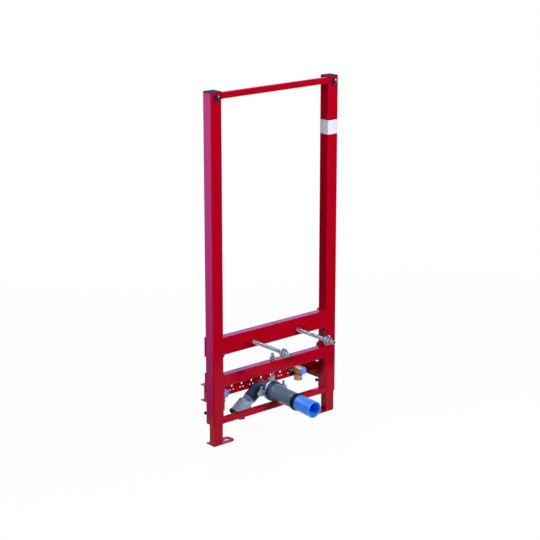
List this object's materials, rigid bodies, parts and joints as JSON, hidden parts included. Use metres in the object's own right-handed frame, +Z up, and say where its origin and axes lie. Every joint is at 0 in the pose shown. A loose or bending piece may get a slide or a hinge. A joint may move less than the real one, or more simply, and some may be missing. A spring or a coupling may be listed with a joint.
{
  "type": "bidet installation frame",
  "caption": "Height-adjustable steel installation frame for a wall-hung bidet, with fixing rods, clamped drain elbow and brass water elbows on a perforated plate.",
  "frame": {"origin": "on the underside of the left foot, on the vertical centre line of the left post", "axes": "+Z up, +X to the right seen from the front, +Y back to the wall"},
  "size_m": [0.5, 0.2968, 1.0975],
  "materials": {
    "red_paint": "gloss red powder coat",
    "zinc": "bluish zinc plate",
    "brass": "satin raw brass",
    "black_steel": "black-finished steel screws",
    "black_plastic": "satin black plastic",
    "black_rubber": "black rubber",
    "blue_plastic": "glossy blue polythene",
    "dark_grey_plastic": "dark grey polypropylene",
    "light_grey_plastic": "grey polypropylene"
  },
  "bodies": {
    "floor_legs": {"leg_left": "red_paint", "leg_right": "red_paint", "foot_left": "red_paint", "foot_right": "red_paint"},
    "frame": {"post_left": "red_paint", "post_right": "red_paint", "post_cap_left": "black_plastic", "post_cap_right": "black_plastic", "top_bar": "red_paint", "wall_bolt_left": "black_steel", "wall_bolt_right": "black_steel", "upper_crossbar": "red_paint", "upper_bracket_left": "red_paint", "upper_bracket_right": "red_paint", "lower_crossbar": "red_paint", "lower_bracket_left": "red_paint", "lower_bracket_right": "red_paint", "bracket_bolts": "zinc", "bottom_rail": "red_paint", "leg_clamp_bolt_left": "black_steel", "leg_clamp_bolt_right": "black_steel", "bidet_rod_left": "zinc", "bidet_rod_right": "zinc", "rod_nuts_left": "zinc", "rod_nuts_right": "zinc", "connection_plate": "red_paint", "plate_arm_left": "red_paint", "plate_arm_right": "red_paint", "water_elbow_left": "brass", "water_elbow_right": "brass", "water_plug_left": "blue_plastic", "water_plug_right": "blue_plastic", "insulation_pad_left": "black_rubber", "insulation_pad_right": "black_rubber", "elbow_screws": "zinc", "drain_barrel": "light_grey_plastic", "drain_elbow": "dark_grey_plastic", "drain_coupling": "light_grey_plastic", "drain_coupling_seal": "black_rubber", "drain_seal": "black_rubber", "drain_cap": "blue_plastic", "clamp_ring": "zinc", "clamp_liner": "black_rubber", "clamp_stud": "zinc", "clamp_screws": "zinc"}
  },
  "joints": [
    {"name": "height_slide", "type": "slide", "parent": "floor_legs", "child": "frame", "axis": [0, 0, 1], "range_m": [-0.06, 0.13]}
  ]
}
